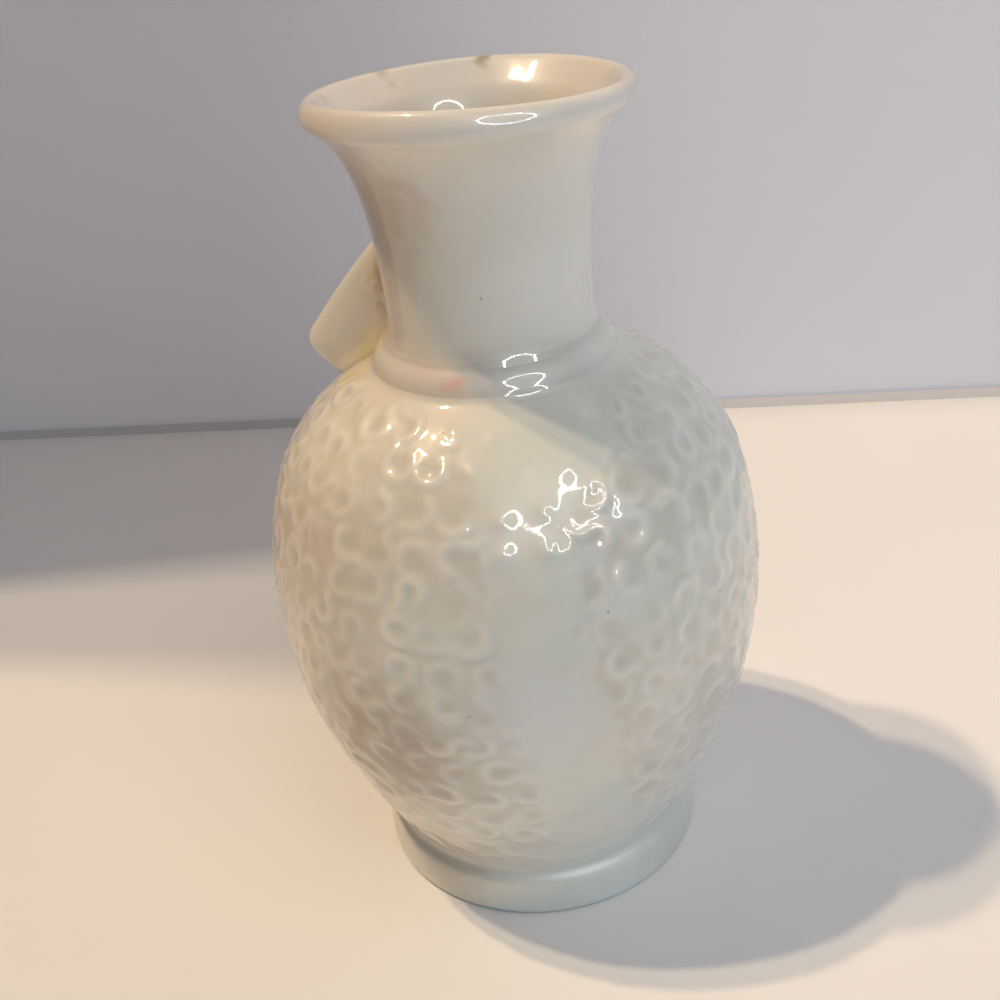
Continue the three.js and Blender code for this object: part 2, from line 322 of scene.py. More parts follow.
def hollow():
    """The inside below the neck's waist, down to the middle of the floor."""
    side = moved_right(belly_side(), -belly_wall)
    side = side[(side[:, 0] > throat_radius + throat_margin) & (side[:, 1] > floor_level + floor_round)]
    corner = side[0]
    floor = cubic(corner, (corner[0] - floor_lean, corner[1] - floor_round * floor_drop),
                  (corner[0] - floor_round * floor_pull, floor_level),
                  (corner[0] - floor_round * floor_reach, floor_level))
    bend = [(throat_radius + out, neck_root_level + up) for out, up in throat_bend]
    return np.vstack([bend, side[::-1], floor[1:], [(0.0, floor_level)]])


def foot_outside():
    inside = foot_radius - foot_width
    return np.vstack([
        [(inside, boss_level), (inside, foot_edge_round + recess_step)],
        arc((inside + foot_edge_round, foot_edge_round), foot_edge_round, 180, 270),
        arc((foot_radius - foot_edge_round, foot_edge_round), foot_edge_round, 270, 360),
        arc((foot_radius - foot_top_round, foot_height - foot_top_round), foot_top_round, 0, 80),
    ])


def evened(points, spacing):
    """The polyline with its points at even distances along it."""
    lengths = np.concatenate([[0.0], np.cumsum(np.linalg.norm(np.diff(points, axis=0), axis=1))])
    count = max(int(math.ceil(lengths[-1] / spacing)), 1) + 1
    at = np.linspace(0.0, lengths[-1], count)
    return np.stack([np.interp(at, lengths, points[:, 0]), np.interp(at, lengths, points[:, 1])], 1)


def softened(points, softness):
    """The even polyline with its creases and corners rounded. Its ends stay in place."""
    reach = int(4 * softness / outline_step)
    offsets = np.arange(-reach, reach + 1) * outline_step
    weights = np.exp(-0.5 * (offsets / softness) ** 2)
    weights /= weights.sum()
    before = 2 * points[0] - points[reach:0:-1]
    after = 2 * points[-1] - points[-2:-reach - 2:-1]
    padded = np.vstack([before, points, after])
    return np.stack([np.convolve(padded[:, k], weights, "valid") for k in (0, 1)], 1)


class Outline:
    """The whole surface as one soft line: under the foot, up the outside, over the lip and down inside."""

    def __init__(self):
        under = np.array([(0.0, boss_level), (foot_radius - foot_width - recess_inset, boss_level)])
        parts = [under, foot_outside(), belly_side(), collar_and_root(), flare(), hollow()]
        raw = np.vstack(parts)
        steps = np.linalg.norm(np.diff(raw, axis=0), axis=1)
        raw = raw[np.concatenate([[True], steps > same_place])]
        even = evened(raw, outline_step)
        self.points = softened(even, crease_softness)
        for radius, level, softness, reach in soft_joints:
            gap = np.hypot(even[:, 0] - radius, even[:, 1] - level)
            share = np.exp(-(gap / reach) ** 2)[:, None]
            self.points = self.points + share * (softened(even, softness) - self.points)
        self.points[:, 0] = np.maximum(self.points[:, 0], 0.0)

    def nearest(self, radius, level, after=0):
        gap = np.hypot(self.points[after:, 0] - radius, self.points[after:, 1] - level)
        return after + int(np.argmin(gap))

    def part(self, first, last, spacing):
        return evened(self.points[first:last + 1], spacing)


# The places in the outline's points where one piece ends and the next begins. The small offsets keep
# them on the rounded line
outline = Outline()
points_past_recess = 100
at_recess = outline.nearest(foot_radius - foot_width, boss_level)
at_foot_top = outline.nearest(belly_foot_radius + 0.15, belly_foot_level - 0.1,
                              at_recess + points_past_recess)
at_shoulder = outline.nearest(shoulder_radius, seat_level + 0.1)
at_collar_top = outline.nearest(neck_waist_radius + 1.2, collar_top_level, at_shoulder)
at_lip = int(np.argmax(outline.points[:, 1]))
at_throat = outline.nearest(throat_radius, neck_root_level - 1.0, at_lip)
at_floor = len(outline.points) - 1


# Relief: rows of curls on the belly, each a bent ridge like a C, J or S. They are finer than the dimples
# with raised crescents of the construction

def curl_path(size, opening, gap, tail, side):
    """Places (across, along) down the middle of one ridge: an arc like a C, and a tail that bends back."""
    turn = np.linspace(opening + gap / 2, opening + 2 * math.pi - gap / 2, arc_points)
    bend = curl_radius * size
    path = bend * np.stack([np.cos(turn), np.sin(turn)], 1)
    if tail > 0:
        outward = np.array([math.cos(turn[-1]), math.sin(turn[-1])])
        back = turn[-1] + math.pi - np.linspace(0, tail, tail_points)[1:]
        path = np.vstack([path, (bend + tail_radius) * outward
                          + tail_radius * np.stack([np.cos(back), np.sin(back)], 1)])
    return path * np.array([side, 1.0])


def curls(length, radius_at):
    """Every curl of the belly: its turn round the belly, its distance up the side, its size, its strength
    and its path."""
    relief_length = length - relief_foot_margin - relief_shoulder_margin
    row_count = round(relief_length / (row_tightness * curl_pitch))
    row_pitch = relief_length / row_count
    found = []
    for row in range(row_count):
        middle = relief_foot_margin + (row + 0.5) * row_pitch
        count = round(2 * math.pi * radius_at(middle) / curl_pitch)
        shift = rng.uniform()
        for curl in range(count):
            stray = rng.uniform(-curl_stray, curl_stray, 2)
            share = (curl + shift) / count + stray[0] / (2 * math.pi * radius_at(middle))
            size = rng.uniform(*curl_sizes)
            opening = rng.uniform(0, 2 * math.pi)
            gap = math.radians(rng.uniform(*curl_gaps))
            tail = math.radians(rng.uniform(*tail_turns)) if rng.uniform() < tail_share else 0.0
            side = 1.0 if rng.uniform() < 0.5 else -1.0
            strength = rng.uniform(*curl_strengths)
            path = curl_path(size, opening, gap, tail, side)
            found.append((share, middle + stray[1], size, strength, path))
    return found


def relief_show(bearing, along, radius, level, length):
    """How much of the relief shows, which is none on the two smooth strips, under the lug or at the
    margins, and how far the strips are worn."""
    def across(centre):
        return ((bearing - centre + 180.0) % 360.0 - 180.0) * math.pi / 180.0 * radius

    left = np.interp(level, strip_levels, strip_left)
    right = np.interp(level, strip_levels, strip_right)
    wander = sum(height * np.sin(along * pace + bearing * turning + start)
                 for height, pace, turning, start in edge_waves)
    front = np.maximum(left - across(strip_bearing), across(strip_bearing) - right)
    back = np.maximum(left + across(strip_bearing + 180.0), -across(strip_bearing + 180.0) - right)
    off_lug = np.maximum(np.abs(across(-90.0)) - lug_half_thickness - lug_margin, lug_foot_level - level)
    off_strips = smooth(np.minimum(front, back) + wander, *relief_fade)
    margins = smooth(along, *foot_fade) * smooth(length - along, *shoulder_fade)
    margins = margins * smooth(off_lug, *relief_fade)
    show = off_strips * margins * (low_strength + low_gain * smooth(along, *low_reach))
    return show, (1.0 - off_strips) * margins


def relief(bearing, along, radius, level):
    """Strengths of the ridges, of the ground between them, of the dishes inside them and of the low
    swells that are left of worn curls, over the belly's grid of rows by columns."""
    rows, columns = len(along), len(bearing)
    ridge, dish, swell = np.zeros((3, rows, columns))
    for share, middle, size, strength, path in curls(along[-1], lambda s: np.interp(s, along, radius)):
        low = path.min(0) - ridge_reach
        high = path.max(0) + ridge_reach
        near_rows = np.nonzero((along > middle + low[1]) & (along < middle + high[1]))[0]
        around = 2 * math.pi * float(np.interp(middle, along, radius))
        centre = share % 1.0 * columns
        first = int(centre + low[0] / around * columns) - 1
        last = int(centre + high[0] / around * columns) + 2
        near = np.arange(first, last + 1)
        across = (near - centre) / columns * 2 * math.pi * radius[near_rows][:, None]
        rise = (along[near_rows] - middle)[:, None] + 0 * across
        gap = np.hypot(across[..., None] - path[:, 0], rise[..., None] - path[:, 1])
        number = gap.argmin(2)
        taper = np.interp(number, [0, 2, len(path) - 4, len(path) - 1], ridge_ends)
        new_ridge = strength * taper * np.exp(-(gap.min(2) / ridge_half_width) ** 2)
        off_middle = np.hypot(across, rise)
        new_dish = np.exp(-(off_middle / (dish_size * curl_radius * size)) ** 2)
        new_swell = size * np.exp(-(off_middle / (worn_radius * size)) ** 2)
        block = np.ix_(near_rows, near % columns)
        ridge[block] += new_ridge ** ridge_merging
        dish[block] = np.maximum(dish[block], new_dish)
        swell[block] += new_swell
    ridge = ridge ** (1 / ridge_merging)
    show, worn = relief_show(bearing[None, :], along[:, None], radius[:, None], level[:, None], along[-1])
    fresh = worn_least + worn_gain * np.exp(-((level - worn_level) / worn_spread) ** 2)
    off_ridge = 1.0 - np.minimum(ridge, 1.0)
    return ridge * show, show * off_ridge, dish * show * off_ridge, swell * worn * fresh[:, None]


def gentle_waves(bearing, along):
    """The slight unevenness of a thick glaze, smooth all round."""
    total = 0.0
    for turns, pace, weight in belly_waves:
        phase = rng.uniform(0, 2 * math.pi)
        total = total + weight * np.sin(np.radians(bearing) * turns + along * pace * 2 + phase)
    return belly_wave_height * total


def settled(points):
    """The hand-made unevenness of the rim, whose crown and inside slope stand higher at the front, and
    the slight lean of the neck."""
    turn = np.degrees(np.arctan2(points[:, 0], -points[:, 1]))
    bearing = np.radians(turn - rim_bearing)
    radius = np.hypot(points[:, 0], points[:, 1])
    rim_level = points[:, 2] + rim_tilt * (lip_radius - rim_inset - radius)
    crown = smooth(rim_level, top_level - rim_fade[0], top_level - rim_fade[1])
    lift = rim_lift + sum(c * np.cos(n * bearing) + s * np.sin(n * bearing) for n, c, s in rim_waves)
    lean = neck_lean[0] * np.cos(bearing) + neck_lean[1] * np.sin(bearing)
    dent = sum(depth * np.exp(-(((turn - at + 180.0) % 360.0 - 180.0) / width) ** 2)
               for at, width, depth in rim_touches)
    dent *= smooth(rim_level, top_level - touch_fade[0], top_level - touch_fade[1])
    side = (turn - facet_bearing + 180.0) % 360.0 - 180.0
    below = np.clip(top_level - facet_depth - points[:, 2], -facet_half_height, facet_half_height)
    twist = facet_twist * side * below * np.exp(-(side / facet_width) ** 2)
    twist *= smooth(lip_radius - radius, *facet_inset)
    twist *= smooth(points[:, 2], top_level - facet_fade[0], top_level - facet_fade[1])
    points[:, :2] *= (1.0 + (twist - dent) / np.maximum(radius, 1.0))[:, None]
    points[:, 2] += crown * lift + smooth(points[:, 2], neck_lean_level, top_level) * lean
    return points


# Meshes

def new_piece(name, points, faces, slot, node, values, sharp_rings=()):
    """A closed mesh from points in millimetres. Edges that join two points of a sharp ring stay sharp."""
    mesh = bpy.data.meshes.new(name)
    mesh.from_pydata((points * MM).tolist(), [], faces)
    mesh.validate()
    mesh.polygons.foreach_set("use_smooth", [True] * len(mesh.polygons))
    if len(sharp_rings):
        sharp = np.zeros(len(points), bool)
        for ring in sharp_rings:
            sharp[ring] = True
        ends = np.zeros(len(mesh.edges) * 2, int)
        mesh.edges.foreach_get("vertices", ends)
        ends = ends.reshape(-1, 2)
        ring_of = np.full(len(points), -1)
        for number, ring in enumerate(sharp_rings):
            ring_of[ring] = number
        is_sharp = sharp[ends].all(1) & (ring_of[ends[:, 0]] == ring_of[ends[:, 1]])
        attribute = mesh.attributes.new("sharp_edge", "BOOLEAN", "EDGE")
        attribute.data.foreach_set("value", is_sharp)
    for key, value in values.items():
        attribute = mesh.attributes.new(key, "FLOAT", "POINT")
        attribute.data.foreach_set("value", value.astype(np.float32))
    mesh.update()
    piece = bpy.data.objects.new(name, mesh)
    bpy.context.scene.collection.objects.link(piece)
    mesh.materials.append(materials[slot])
    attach(piece, "root")
    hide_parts(node)


def band_faces(low_start, low_count, high_start, high_count):
    """Faces between two rings, the lower one first. One ring may be a point or have several times the
    points of the other."""
    count = min(low_count, high_count)
    if count == 1:
        count = max(low_count, high_count)
    turn = np.arange(count)
    edges = []
    for start, ring_count, backwards in ((low_start, low_count, False), (high_start, high_count, True)):
        share = max(ring_count // count, 0)
        steps = np.arange(share + 1) if share else np.zeros(1, int)
        edge = start + (turn[:, None] * share + steps) % ring_count
        edges.append(edge[:, ::-1] if backwards else edge)
    return np.hstack(edges).tolist()


def turned(name, parts, slot, node, shape=None):
    """A closed piece turned from outline parts that follow each other, each with its number of columns.
    Between two parts runs a hidden straight step, sharp at both ends. shape gives the lift of the points
    of the second part, and the strengths of its marks, from its grid."""
    mark_names = ("ridge", "ground", "dish")
    rings, sharp, marks = [], [], {key: [] for key in mark_names}
    closes = parts[0][0][0][0] > same_place
    for number, (part, columns) in enumerate(parts):
        bearing = np.arange(columns) * 360.0 / columns
        sides = np.stack([np.sin(np.radians(bearing)), -np.cos(np.radians(bearing))], 1)
        along = np.concatenate([[0.0], np.cumsum(np.linalg.norm(np.diff(part, axis=0), axis=1))])
        tangent = np.gradient(part, axis=0)
        tangent /= np.linalg.norm(tangent, axis=1)[:, None]
        lift, *strengths = np.zeros((1 + len(mark_names), len(part), columns))
        if shape is not None and number == 1:
            lift, *strengths = shape(bearing, along, part)
        for row, (radius, level) in enumerate(part):
            if radius < same_place:
                rings.append(np.array([[0.0, 0.0, level]]))
                for key in mark_names:
                    marks[key].append(np.zeros(1))
                continue
            r = radius + tangent[row, 1] * lift[row]
            z = level - tangent[row, 0] * lift[row]
            rings.append(np.stack([sides[:, 0] * r, sides[:, 1] * r, z], 1))
            for key, strength in zip(mark_names, strengths):
                marks[key].append(strength[row])
            if row in (0, len(part) - 1):
                sharp.append(len(rings) - 1)
    counts = [len(ring) for ring in rings]
    starts = np.concatenate([[0], np.cumsum(counts)])
    pairs = [(k, k + 1) for k in range(len(rings) - 1)]
    if closes:
        pairs.append((len(rings) - 1, 0))
    faces = []
    for low, high in pairs:
        faces += band_faces(starts[low], counts[low], starts[high], counts[high])
    points = settled(np.vstack(rings))
    sharp_rings = [np.arange(starts[k], starts[k + 1]) for k in sharp]
    values = {key: np.concatenate(value) for key, value in marks.items()}
    new_piece(name, points, faces, slot, node, values, sharp_rings)


# Materials

class Glaze:
    """One material, with small helpers that build its nodes."""

    def __init__(self, name):
        self.material = bpy.data.materials.new(name)
        self.material.use_nodes = True
        self.tree = self.material.node_tree
        self.tree.nodes.clear()
        self.out = self.tree.nodes.new("ShaderNodeOutputMaterial")
        self.place = self.tree.nodes.new("ShaderNodeTexCoord").outputs["Object"]

    def link(self, source, target):
        self.tree.links.new(source, target)

    def node(self, kind, inputs=None, **settings):
        node = self.tree.nodes.new(kind)
        for key, value in settings.items():
            setattr(node, key, value)
        for key, value in (inputs or {}).items():
            if isinstance(value, bpy.types.NodeSocket):
                self.link(value, node.inputs[key])
            else:
                node.inputs[key].default_value = value
        return node

    def noise(self, size, detail=2.0, roughness=0.5, distortion=0.0):
        """Noise from 0 to 1 with features of a size in millimetres."""
        return self.node("ShaderNodeTexNoise", {
            "Vector": self.place, "Scale": 1.0 / (size * MM), "Detail": detail,
            "Roughness": roughness, "Distortion": distortion}).outputs["Fac"]

    def ramp(self, value, low, high, to_low=0.0, to_high=1.0):
        return self.node("ShaderNodeMapRange", {
            "Value": value, "From Min": low, "From Max": high, "To Min": to_low, "To Max": to_high},
            interpolation_type="SMOOTHSTEP").outputs["Result"]

    def math(self, operation, first, second):
        return self.node("ShaderNodeMath", {0: first, 1: second}, operation=operation).outputs[0]

    def mark(self, name):
        return self.node("ShaderNodeAttribute", attribute_name=name).outputs["Fac"]

    def mix(self, share, first, second):
        node = self.tree.nodes.new("ShaderNodeMix")
        node.data_type = "RGBA"
        for key, value in ((0, share), (6, first), (7, second)):
            if isinstance(value, bpy.types.NodeSocket):
                self.link(value, node.inputs[key])
            else:
                node.inputs[key].default_value = value if key == 0 else (*value, 1.0)
        return node.outputs[2]

    def near(self, spot, radius):
        """1 at a place in millimetres, falling to 0 at a radius round it, with an uneven edge."""
        gap = self.node("ShaderNodeVectorMath", {0: self.place, 1: tuple(v * MM for v in spot)},
                        operation="DISTANCE").outputs["Value"]
        grain = self.noise(max(spot_least_grain, spot_grain * radius), detail=3.0)
        wander = self.math("SUBTRACT", grain, 0.5)
        stray = small_spot_stray if radius < small_spot else large_spot_stray
        rough = self.math("MULTIPLY", wander, radius * MM * stray)
        return self.ramp(self.math("ADD", gap, rough), spot_core * radius * MM, radius * MM, 1.0, 0.0)


# Uneven spots of a tint: sizes of their grain, how far their edge strays, as shares of their radius, and
# the share of the radius that is full
spot_least_grain = 1.6
spot_grain = 0.22
spot_core = 0.15
small_spot = 5.0
small_spot_stray = 1.2
large_spot_stray = 0.8

# What all glazes share: tones, strengths as shares, and sizes in millimetres
# Pale ridges; on the lug the same tone makes a painted highlight along its edge
ridge_and_edge_highlight_tone = (0.84, 0.81, 0.75)
ridge_and_edge_highlight_strength = 0.55
ground_tone = (0.58, 0.52, 0.44)
# Dishes darker from pooled glaze and from painted shade
dish_pool_and_shade_tone = (0.56, 0.52, 0.45)
dish_pool_and_shade_strength = 0.28
pink_mottle = (0.83, 0.76, 0.72)
green_mottle = (0.66, 0.71, 0.66)
mottle_size = 9.0
mottle_strength = 0.20
cloud_size = 30.0
cloud_strength = 0.30
patch_size = 11.0
patch_strengths = (0.10, 0.42)
speck_tone = (0.16, 0.12, 0.09)
speck_strength = 0.55
speck_spacing = 7.0
ripple_size = 3.2
ripple_strength = 0.06
ripple_depth = 0.25

# Painted light: the colour turns from warm to cool between these shares of the half width, from left to
# right.
# It stands in for the warm light from the left and the cool light from the right
warm_light_edge = -0.9
cool_light_edge = 0.35
cool_light_strength = 0.70

# Levels in metres between which the colour of the lip sets in
lip_start = 0.112
lip_whole = 0.128


def glaze(slot, warm_lit_tone, cool_lit_tone, half_width, tints, lip=None, haze=0.05):
    """Pearl glaze over white clay: warm on the left and cool on the right, which is painted light, with
    clouds of both; pale ridges, and a painted highlight where the ridge mark runs along the lug's edge;
    darker ground; dishes darker from pooled glaze and from painted shade; tints, some of them painted light
    or shade; and specks. lip gives the tone of the lip and its strength, and haze is the roughness of the
    glossy coat."""
    g = Glaze(slot)
    clouds = g.ramp(g.noise(cloud_size, 2.0, 0.45, 0.3), 0.34, 0.66, to_high=cloud_strength)
    sides = g.node("ShaderNodeSeparateXYZ", {"Vector": g.place}).outputs["X"]
    # Painted light: warm on the left, cool on the right
    painted_side_light = g.ramp(sides, warm_light_edge * half_width * MM, cool_light_edge * half_width * MM, to_high=cool_light_strength)
    colour = g.mix(g.math("ADD", painted_side_light, clouds), warm_lit_tone, cool_lit_tone)
    fine = g.ramp(g.noise(mottle_size, 3.0, 0.55), 0.3, 0.7, -1.0, 1.0)
    for tone, way in ((pink_mottle, fine), (green_mottle, g.math("MULTIPLY", fine, -1.0))):
        share = g.math("MULTIPLY", g.math("MAXIMUM", way, 0.0), mottle_strength)
        colour = g.mix(share, colour, tone)
    if lip is not None:
        height = g.node("ShaderNodeSeparateXYZ", {"Vector": g.place}).outputs["Z"]
        share = g.math("MULTIPLY", g.ramp(height, lip_start, lip_whole), lip[1])
        colour = g.mix(share, colour, lip[0])
    for tone, place, radius, strength in tints:
        share = g.math("MULTIPLY", g.near(place, radius), strength)
        colour = g.mix(share, colour, tone)
    patches = g.ramp(g.noise(patch_size, 3.0, 0.6, 0.6), 0.40, 0.62, *patch_strengths)
    # Pale ridges and the lug's painted edge highlight, darker ground, and dishes darker from pooled glaze
    # and painted shade
    for mark, strength, tone in (("ground", patches, ground_tone), ("ridge", ridge_and_edge_highlight_strength, ridge_and_edge_highlight_tone),
                                 ("dish", dish_pool_and_shade_strength, dish_pool_and_shade_tone)):
        colour = g.mix(g.math("MULTIPLY", g.mark(mark), strength), colour, tone)
    grains = g.node("ShaderNodeTexVoronoi", {"Vector": g.place, "Scale": 1.0 / (speck_spacing * MM)},
                    feature="F1").outputs["Distance"]
    specks = g.math("MULTIPLY", g.ramp(grains, 0.018, 0.034, 1.0, 0.0), speck_strength)
    colour = g.mix(specks, colour, speck_tone)

    ripple = g.node("ShaderNodeBump", {
        "Height": g.noise(ripple_size), "Strength": ripple_strength,
        "Distance": ripple_depth * MM}).outputs["Normal"]
    shader = g.node("ShaderNodeBsdfPrincipled", {
        "Base Color": colour, "Normal": ripple, "Coat Normal": ripple,
        "Roughness": 0.38, "IOR": 1.5, "Specular IOR Level": 0.3,
        "Subsurface Weight": 0.18, "Subsurface Radius": (1.0, 0.75, 0.55), "Subsurface Scale": 1.6 * MM,
        "Coat Weight": 0.9, "Coat Roughness": haze, "Coat IOR": 1.5,
    })
    g.link(shader.outputs["BSDF"], g.out.inputs["Surface"])
    return g.material


# Plain studio surfaces: size and depth of their mottle, and where in metres the lighter colour on the
# right, which is painted light, sets in
plain_mottle_size = 60.0
plain_mottle_shade = 0.985
lit_right_start = -0.15
lit_right_whole = 0.02


def plain_surface(name, colour, lit_right_colour=None, glow=0.0, back_clear=False):
    """A plain studio surface with a very faint mottle, a lighter colour towards the right that is painted
    light, a glow of its own that is painted light too, and a back that can be looked through."""
    g = Glaze(name)
    mottle = g.ramp(g.noise(plain_mottle_size, 3.0), 0.3, 0.7)
    tone = g.mix(mottle, colour, tuple(c * plain_mottle_shade for c in colour))
    if lit_right_colour is not None:
        # Painted light: lighter towards the right
        painted_side_light = g.node("ShaderNodeSeparateXYZ", {"Vector": g.place}).outputs["X"]
        tone = g.mix(g.ramp(painted_side_light, lit_right_start, lit_right_whole), tone, lit_right_colour)
    # Its emission is painted light: the surface glows though it is no lamp
    shader = g.node("ShaderNodeBsdfPrincipled", {
        "Base Color": tone, "Roughness": 0.75, "Specular IOR Level": 0.25,
        "Emission Color": tone, "Emission Strength": glow}).outputs["BSDF"]
    if back_clear:
        side = g.node("ShaderNodeNewGeometry").outputs["Backfacing"]
        clear = g.node("ShaderNodeBsdfTransparent").outputs[0]
        shader = g.node("ShaderNodeMixShader", {0: side, 1: shader, 2: clear}).outputs[0]
    g.link(shader, g.out.inputs["Surface"])
    return g.material


# Each tint is a tone, a place in millimetres, a radius and a strength. Some tints are painted light or
# shade, marked where they stand
materials = {
    "belly_glaze": glaze(
        "belly_glaze", (0.69, 0.58, 0.45), (0.745, 0.765, 0.725), 38.0,
        # Painted light: a lighter patch on the left shoulder where the key lamps fall
        tints=(((0.88, 0.84, 0.74), (-18.0, -20.0, 84.0), 19.0, 0.75),
               # Painted cool light on the front of the belly
               ((0.79, 0.81, 0.85), (14.0, -37.0, 50.0), 14.0, 0.50),
               # Painted sheen: two bluish patches of the pearl sheen
               ((0.70, 0.77, 0.90), (25.5, -23.0, 77.0), 5.0, 0.55),
               ((0.70, 0.77, 0.90), (22.5, -28.5, 73.5), 3.5, 0.45),
               # Painted shadow of the neck on the right of the shoulder
               ((0.52, 0.52, 0.48), (21.6, -7.3, 88.3), 9.0, 0.50),
               # Painted shade: warm, dark patches low and higher up on the left of the belly
               ((0.42, 0.30, 0.22), (-11.0, -36.0, 42.0), 21.0, 0.90),
               ((0.50, 0.40, 0.31), (-18.5, -31.5, 68.0), 17.0, 0.50),
               # Painted cool light on the front of the belly
               ((0.75, 0.76, 0.77), (9.0, -34.5, 73.5), 9.0, 0.55),
               ((0.86, 0.75, 0.38), (-21.0, -7.5, 88.0), 4.5, 0.65),
               ((0.72, 0.52, 0.48), (-14.0, -35.0, 55.0), 9.0, 0.22),
               ((0.74, 0.54, 0.49), (-4.0, -30.0, 16.0), 9.0, 0.30))),
    "neck_glaze": glaze(
        "neck_glaze", (0.64, 0.52, 0.41), (0.74, 0.74, 0.70), 17.5,
        # Painted shade: a darker, cooler inside of the mouth, and darker inside and lip on the right
        tints=(((0.66, 0.71, 0.74), (-6.0, 19.0, 124.0), 19.0, 0.48),
               ((0.62, 0.57, 0.51), (15.0, 15.0, 126.0), 11.0, 0.30),
               ((0.52, 0.48, 0.42), (23.0, 4.0, 129.0), 12.0, 0.45),
               # Painted shadow of the lip on the left of the neck
               ((0.49, 0.36, 0.26), (-9.5, -15.5, 118.0), 13.0, 0.58),
               ((0.54, 0.40, 0.30), (-9.5, -13.0, 109.0), 9.0, 0.25),
               ((0.30, 0.25, 0.14), (-5.2, 21.0, 129.2), 1.8, 0.90),
               ((0.42, 0.36, 0.24), (-4.3, 20.1, 127.6), 1.5, 0.65),
               ((0.48, 0.42, 0.26), (-18.4, 11.6, 129.6), 1.8, 0.70),
               ((0.50, 0.42, 0.28), (-16.8, 10.8, 127.4), 1.7, 0.55),
               ((0.55, 0.47, 0.33), (-20.3, -4.8, 129.2), 1.8, 0.60),
               ((0.10, 0.08, 0.07), (5.5, -16.7, 118.1), 0.35, 0.80)),
        lip=((0.86, 0.81, 0.76), 0.50)),
    "collar_glaze": glaze(
        "collar_glaze", (0.76, 0.66, 0.55), (0.74, 0.73, 0.69), 17.5,
        tints=(((0.80, 0.36, 0.34), (-0.8, -17.6, 92.5), 1.9, 0.55),
               ((0.80, 0.36, 0.34), (1.0, -17.6, 92.6), 1.9, 0.60),
               ((0.86, 0.66, 0.40), (-16.5, -4.5, 95.0), 5.0, 0.60),
               ((0.80, 0.62, 0.56), (-3.0, -17.4, 92.6), 7.0, 0.50),
               ((0.10, 0.08, 0.07), (14.8, -10.0, 92.3), 0.40, 0.80))),
    "foot_glaze": glaze(
        "foot_glaze", (0.76, 0.70, 0.60), (0.79, 0.82, 0.77), 28.0, haze=0.40,
        # Painted shadow of the belly on the left of the foot, and painted shade on its right
        tints=(((0.55, 0.48, 0.40), (-8.0, -27.0, 7.0), 11.0, 0.50),
               ((0.60, 0.58, 0.52), (27.0, -5.0, 4.0), 16.0, 0.60))),
    "lug_glaze": glaze(
        "lug_glaze", (0.81, 0.70, 0.56), (0.77, 0.72, 0.63), 60.0,
        # Painted shade at the lug's root against the neck
        tints=(((0.50, 0.34, 0.18), (-14.6, -2.5, 102.5), 4.8, 0.80),
               ((0.50, 0.34, 0.18), (-15.4, -2.5, 107.0), 3.2, 0.65),
               ((0.50, 0.34, 0.18), (-15.2, -2.5, 97.5), 3.4, 0.60),
               ((0.82, 0.70, 0.34), (-18.5, -1.5, 89.5), 6.5, 0.75))),
}


# Pieces

def belly_shape(bearing, along, part):
    ridge, ground, dish, swell = relief(bearing, along, part[:, 0], part[:, 1])
    waves = gentle_waves(bearing[None, :], along[:, None])
    edge = smooth(along, 0.0, belly_wave_fade) * smooth(along[-1] - along, 0.0, belly_wave_fade)
    lift = ridge_height * ridge - ground_depth * ground - dish_depth * dish + worn_height * swell
    return lift + waves * edge[:, None], ridge, ground, dish


turned("belly_glazed", [
    (outline.part(0, at_recess, inside_row_step), hidden_columns),
    (outline.part(at_foot_top, at_shoulder, belly_row_step), belly_columns),
    (outline.part(at_throat, at_floor, inside_row_step), hidden_columns),
], "belly_glaze", "body_shell", belly_shape)

for piece_name, first_place, last_place, slot_name, node_name in (
        ("foot_glazed", at_recess, at_foot_top, "foot_glaze", "foot_ring"),
        ("collar_glazed", at_shoulder, at_collar_top, "collar_glaze", "neck_collar"),
        ("neck_glazed", at_collar_top, at_throat, "neck_glaze", "neck")):
    part_line = outline.part(first_place, last_place, plain_row_step)
    turned(piece_name, [(part_line, plain_columns)], slot_name, node_name)


# Lug: a flat plate with a rounded edge, bedded in the shoulder and the neck. Its upper and lower edges
# slope by two angles in degrees, and are long enough to be cut where they cross the bed. Its root flares
# on the shoulder, up to lug_flare_levels. The mark of the ridges gives it a painted highlight along its edge
lug_upper_angle = 47.5
lug_lower_angle = 40.4
lug_upper_length = 32.0
lug_lower_length = 30.0
lug_outline_points = 30
lug_nose_round = 4.0
lug_bow = 0.35
lug_edge_depth = 4.8
lug_edge_power = 1.7
lug_root_flare = 0.6
lug_root_reach = 2.2
lug_flare_start = 2.5
lug_flare_levels = (91.0, 95.0)
lug_bed = 1.2
lug_bed_stride = 4
lug_crossing = 0.12
# Strength and width of the painted highlight along the lug's edge
lug_edge_highlight_strength = 1.7
lug_edge_highlight_width = 1.6
lug_stations = 110
lug_steps = 36


def lug_outline():
    """Upper edge, rounded nose and lower edge, from the neck to the shoulder, as (reach, level)."""
    upper_turn, lower_turn = math.radians(lug_upper_angle), math.radians(lug_lower_angle)
    nose_share = lug_nose_round * (math.cos(upper_turn) + math.cos(lower_turn)) / 4
    corner = (lug_nose + nose_share, seat_level + 0.1)
    nose_start = np.array(step(corner, lug_nose_round, 180 - lug_upper_angle))
    nose_end = np.array(step(corner, lug_nose_round, 180 + lug_lower_angle))
    t = np.linspace(0, 1, lug_outline_points)[:, None]
    bow = lug_bow * np.sin(math.pi * np.minimum(1.5 * t[1:], 1.0))
    upper_way = np.array([-math.cos(upper_turn), math.sin(upper_turn)])
    upper = nose_start + t[1:] * lug_upper_length * upper_way
    upper = upper + bow * np.array([math.sin(upper_turn), math.cos(upper_turn)])
    nose = (1 - t) ** 2 * nose_start + 2 * t * (1 - t) * np.array(corner) + t * t * nose_end
    return np.vstack([upper[::-1], nose, [step(corner, lug_lower_length, 180 + lug_lower_angle)]])


